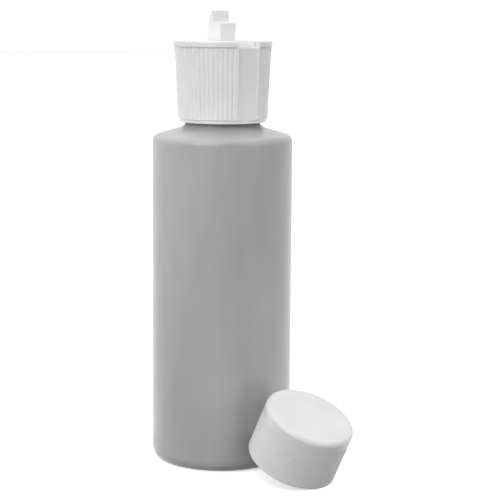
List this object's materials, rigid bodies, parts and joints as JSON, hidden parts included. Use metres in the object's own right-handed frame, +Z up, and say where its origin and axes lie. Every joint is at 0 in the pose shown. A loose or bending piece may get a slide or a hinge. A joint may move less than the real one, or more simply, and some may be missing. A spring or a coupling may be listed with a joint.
{
  "type": "squeeze bottle with flip-spout cap",
  "caption": "Cylindrical plastic squeeze bottle with a ribbed screw cap whose spout folds down into a slot, and a plain screw cap leaning against it.",
  "frame": {"origin": "centre of the bottle's base, on the table it stands on", "axes": "+Z up along the bottle's axis; the spout folds down towards -Y; +X completes a right-handed frame and is the spout's hinge direction"},
  "size_m": [0.042, 0.0729, 0.1355],
  "materials": {
    "bottle_plastic": "satin, natural translucent polyethylene",
    "white_plastic": "semi-gloss white moulded polypropylene",
    "seal_foam": "matt foamed polyethylene"
  },
  "bodies": {
    "bottle": {"bottle": "bottle_plastic"},
    "seal": {"seal_ring": "seal_foam"},
    "cap": {"flip_spout_cap": "white_plastic"},
    "spout": {"spout": "white_plastic"},
    "loose_cap": {"plain_cap": "white_plastic", "plain_cap_liner": "seal_foam"}
  },
  "joints": [
    {"name": "cap_lift", "type": "slide", "parent": "bottle", "child": "seal", "axis": [0, 0, 1], "range_m": [0, 0.0048]},
    {"name": "cap_turn", "type": "hinge", "parent": "seal", "child": "cap", "pos_m": [0, 0, 0.112], "axis": [0, 0, 1], "range_deg": [0, 540]},
    {"name": "spout_flip", "type": "hinge", "parent": "cap", "child": "spout", "pos_m": [0, -0.00075, 0.1226], "axis": [1, 0, 0], "range_deg": [0, 90]},
    {"name": "plain_cap_lift", "type": "slide", "parent": "bottle", "child": "loose_cap", "axis": [0, 0, 1], "range_m": [0, 0.14]}
  ],
  "couplings": [
    {"joint": "cap_lift", "follows": "cap_turn", "m_per_rad": 0.00050532}
  ]
}
